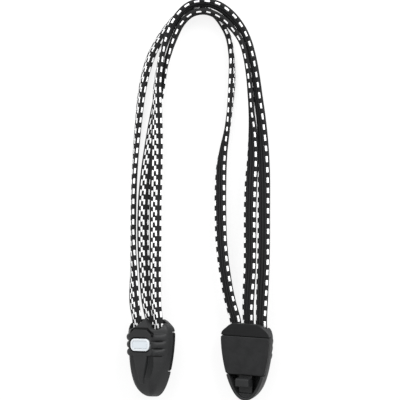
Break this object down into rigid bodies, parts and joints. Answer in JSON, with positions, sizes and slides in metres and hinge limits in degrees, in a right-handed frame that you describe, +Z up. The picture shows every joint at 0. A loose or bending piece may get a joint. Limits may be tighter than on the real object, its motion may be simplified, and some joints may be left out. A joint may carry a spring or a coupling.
{
  "type": "luggage bungee with clips",
  "caption": "Flat elastic luggage straps joined at both ends by moulded clips that snap onto a bicycle carrier, laid out in a U on a table.",
  "frame": {"origin": "on the table, midway between the two clips", "axes": "+X from the left clip to the right clip, +Y from the clips towards the arch of the straps, +Z up from the table"},
  "size_m": [0.1212, 0.3327, 0.038],
  "materials": {
    "clip_plastic": "moulded charcoal plastic, satin",
    "plate_plastic": "moulded charcoal plastic, fine matt texture",
    "reflector_white": "white gloss moulding",
    "reflector_film": "pale prismatic reflector film",
    "crimp_steel": "folded sheet steel",
    "woven_elastic": "black woven cover over rubber cores, with white reflective yarn dashes"
  },
  "bodies": {
    "left_clip": {"left_clip_shell": "clip_plastic", "left_back_plate": "plate_plastic", "left_reflector": "reflector_white", "left_reflector_film": "reflector_film", "left_crimp_outer": "crimp_steel", "left_crimp_inner": "crimp_steel", "left_crimp_crossing": "crimp_steel", "strap_outer": "woven_elastic", "strap_inner": "woven_elastic", "strap_crossing": "woven_elastic"},
    "left_latch": {"left_latch_tongue": "clip_plastic"},
    "right_clip": {"right_clip_shell": "clip_plastic", "right_back_plate": "plate_plastic", "right_reflector": "reflector_white", "right_reflector_film": "reflector_film", "right_crimp_outer": "crimp_steel", "right_crimp_inner": "crimp_steel", "right_crimp_crossing": "crimp_steel"},
    "right_latch": {"right_latch_tongue": "clip_plastic"}
  },
  "joints": [
    {"name": "left_latch_flex", "type": "hinge", "parent": "left_clip", "child": "left_latch", "pos_m": [-0.03867, -0.0225, 0.01653], "axis": [0.7547, 0, 0.6561], "range_deg": [0, 10], "stiffness_Nm_per_rad": 0.8},
    {"name": "stretch", "type": "slide", "parent": "left_clip", "child": "right_clip", "axis": [0, -1, 0], "range_m": [0, 0.15], "stiffness_N_per_m": 200, "deforming": ["strap_outer", "strap_inner", "strap_crossing"]},
    {"name": "right_latch_flex", "type": "hinge", "parent": "right_clip", "child": "right_latch", "pos_m": [0.03803, -0.02555, 0.01633], "axis": [-0.9205, 0.0544, -0.3869], "range_deg": [0, 10], "stiffness_Nm_per_rad": 0.8}
  ]
}
